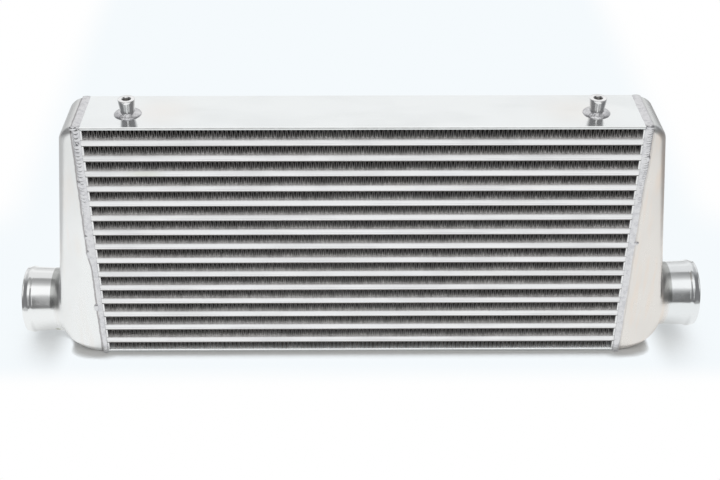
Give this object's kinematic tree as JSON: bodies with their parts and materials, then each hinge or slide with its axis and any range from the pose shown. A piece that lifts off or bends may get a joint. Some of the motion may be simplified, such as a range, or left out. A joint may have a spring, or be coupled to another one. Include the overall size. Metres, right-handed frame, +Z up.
{
  "type": "intercooler",
  "caption": "Front-mount air-to-air bar-and-plate intercooler with cast end tanks, a round hose neck low on each end and two threaded bosses on top.",
  "frame": {"origin": "centre of the core's underside, on the surface it stands on", "axes": "+X along the core towards the right tank, +Y from front to rear, +Z up"},
  "size_m": [0.788, 0.0816, 0.318],
  "materials": {
    "cast_tank": "polished",
    "side_plate": "satin",
    "brazed_bar": "satin",
    "ambient_fin": "satin",
    "charge_fin": "satin",
    "weld_bead": "satin",
    "turned_boss": "polished"
  },
  "bodies": {
    "root": {"top_side_plate": "side_plate", "bottom_side_plate": "side_plate", "front_long_bars": "brazed_bar", "rear_long_bars": "brazed_bar", "left_header_bars": "brazed_bar", "right_header_bars": "brazed_bar", "parting_sheets": "brazed_bar", "left_tank": "cast_tank", "right_tank": "cast_tank", "left_core_weld": "weld_bead", "right_core_weld": "weld_bead", "boss_welds": "weld_bead", "threaded_bosses": "turned_boss", "air_fin_01": "ambient_fin", "air_fin_02": "ambient_fin", "air_fin_03": "ambient_fin", "air_fin_04": "ambient_fin", "air_fin_05": "ambient_fin", "air_fin_06": "ambient_fin", "air_fin_07": "ambient_fin", "air_fin_08": "ambient_fin", "air_fin_09": "ambient_fin", "air_fin_10": "ambient_fin", "air_fin_11": "ambient_fin", "air_fin_12": "ambient_fin", "air_fin_13": "ambient_fin", "air_fin_14": "ambient_fin", "air_fin_15": "ambient_fin", "air_fin_16": "ambient_fin", "charge_fin_01": "charge_fin", "charge_fin_02": "charge_fin", "charge_fin_03": "charge_fin", "charge_fin_04": "charge_fin", "charge_fin_05": "charge_fin", "charge_fin_06": "charge_fin", "charge_fin_07": "charge_fin", "charge_fin_08": "charge_fin", "charge_fin_09": "charge_fin", "charge_fin_10": "charge_fin", "charge_fin_11": "charge_fin", "charge_fin_12": "charge_fin", "charge_fin_13": "charge_fin", "charge_fin_14": "charge_fin", "charge_fin_15": "charge_fin"}
  },
  "joints": []
}
